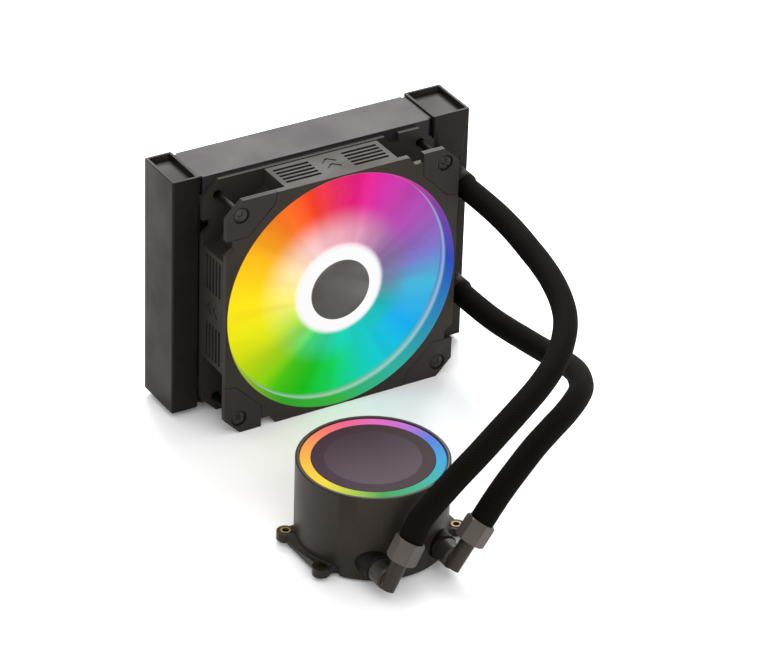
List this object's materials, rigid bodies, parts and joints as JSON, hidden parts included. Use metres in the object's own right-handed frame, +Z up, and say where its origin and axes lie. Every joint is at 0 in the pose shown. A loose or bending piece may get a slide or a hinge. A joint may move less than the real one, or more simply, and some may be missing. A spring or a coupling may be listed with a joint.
{
  "type": "liquid cooler for a processor",
  "caption": "Closed-loop liquid cooler: an upright radiator with a lit fan on its face, a round pump head with a lit ring and a copper cold plate, and sleeved hoses between them.",
  "frame": {"origin": "centre of the cold plate's contact face, the face that meets the processor", "axes": "+Z up, away from the processor; -Y towards the pump's ports and the fan's front; X along the radiator's length, + towards its port tank"},
  "size_m": [0.162, 0.2047, 0.1225],
  "materials": {
    "body_black": "black coat, satin",
    "core_black": "black coat, matt",
    "sleeve": "black braided sleeve over rubber",
    "frame_black": "fine texture",
    "rubber_grey": "matt",
    "screw_black": "blackened",
    "brass": "machined",
    "copper": "machined copper",
    "board": "circuit board",
    "milky": "frosted, lets light through",
    "white_plastic": "moulded",
    "gloss_black": "polished",
    "steel": "ground",
    "housing_black": "satin",
    "fitting_black": "satin",
    "ferrule_black": "black anodised"
  },
  "bodies": {
    "cooler": {"return_tank": "body_black", "port_tank": "body_black", "return_header": "core_black", "port_header": "core_black", "core_tubes": "core_black", "core_fins": "core_black", "top_side_plate": "body_black", "bottom_side_plate": "body_black", "upper_barb": "body_black", "lower_barb": "body_black", "upper_ferrule": "body_black", "lower_ferrule": "body_black", "upper_hose": "sleeve", "lower_hose": "sleeve", "fan_frame": "frame_black", "corner_pad_1": "rubber_grey", "corner_pad_2": "rubber_grey", "corner_pad_3": "rubber_grey", "corner_pad_4": "rubber_grey", "fan_screws": "screw_black", "fan_bearing": "brass", "fan_stator": "copper", "fan_board": "board", "pump_housing": "housing_black", "pump_base": "housing_black", "lug_inserts": "brass", "cold_plate": "copper", "plate_gasket": "rubber_grey", "plate_screws": "steel", "chamber_lid": "frame_black", "pump_shaft": "steel", "pump_stator": "copper", "pump_board": "board", "led_board": "board", "light_ring": "milky", "top_disc": "gloss_black", "left_port_collar": "fitting_black", "right_port_collar": "fitting_black", "port_seals": "rubber_grey"},
    "fan_rotor": {"fan_impeller": "milky", "fan_hub_cap": "gloss_black", "fan_magnet": "screw_black", "fan_shaft": "steel"},
    "pump_rotor": {"pump_impeller": "white_plastic", "impeller_magnet": "screw_black"},
    "left_swivel": {"left_elbow": "fitting_black", "left_ferrule": "ferrule_black"},
    "right_swivel": {"right_elbow": "fitting_black", "right_ferrule": "ferrule_black"}
  },
  "joints": [
    {"name": "fan_spin", "type": "hinge", "parent": "cooler", "child": "fan_rotor", "pos_m": [0.044, 0.115, 0.06], "axis": [0, -1, 0], "continuous": true},
    {"name": "pump_spin", "type": "hinge", "parent": "cooler", "child": "pump_rotor", "pos_m": [0, 0, 0.02], "axis": [0, 0, 1], "continuous": true},
    {"name": "left_swivel_turn", "type": "hinge", "parent": "cooler", "child": "left_swivel", "pos_m": [-0.0165, -0.044, 0.01], "axis": [0, 1, 0], "range_deg": [-15, 15], "deforming": ["upper_hose"]},
    {"name": "right_swivel_turn", "type": "hinge", "parent": "cooler", "child": "right_swivel", "pos_m": [0.0165, -0.044, 0.01], "axis": [0, 1, 0], "range_deg": [-15, 15], "deforming": ["lower_hose"]}
  ]
}
